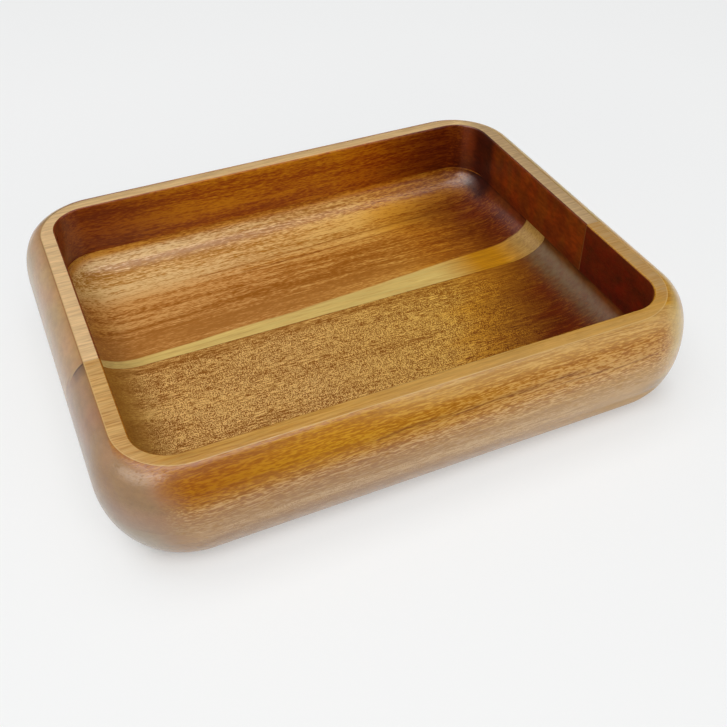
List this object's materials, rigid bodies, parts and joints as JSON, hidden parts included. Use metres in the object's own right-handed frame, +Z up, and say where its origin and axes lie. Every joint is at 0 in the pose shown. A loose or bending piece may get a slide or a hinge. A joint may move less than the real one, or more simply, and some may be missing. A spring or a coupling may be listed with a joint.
{
  "type": "wooden dish",
  "caption": "Low rectangular wooden dish with rounded corners, thin flat rim, swelling sides and a coved hollow, for serving food or holding small things",
  "frame": {"origin": "middle of the flat base, on the surface that the dish stands on", "axes": "+X along the length of the dish and the wood's grain, +Y from the front wall to the back wall, +Z up out of the hollow"},
  "size_m": [0.254, 0.203, 0.05],
  "materials": {
    "upper_front_wood": "satin oil on tan heartwood",
    "upper_back_wood": "satin oil on brown heartwood",
    "lower_front_wood": "satin oil on golden wood with dense dark pores",
    "lower_back_wood": "satin oil on reddish heartwood with a pale sapwood edge"
  },
  "bodies": {
    "root": {"upper_front_board": "upper_front_wood", "upper_back_board": "upper_back_wood", "lower_front_board": "lower_front_wood", "lower_back_board": "lower_back_wood"}
  },
  "joints": []
}
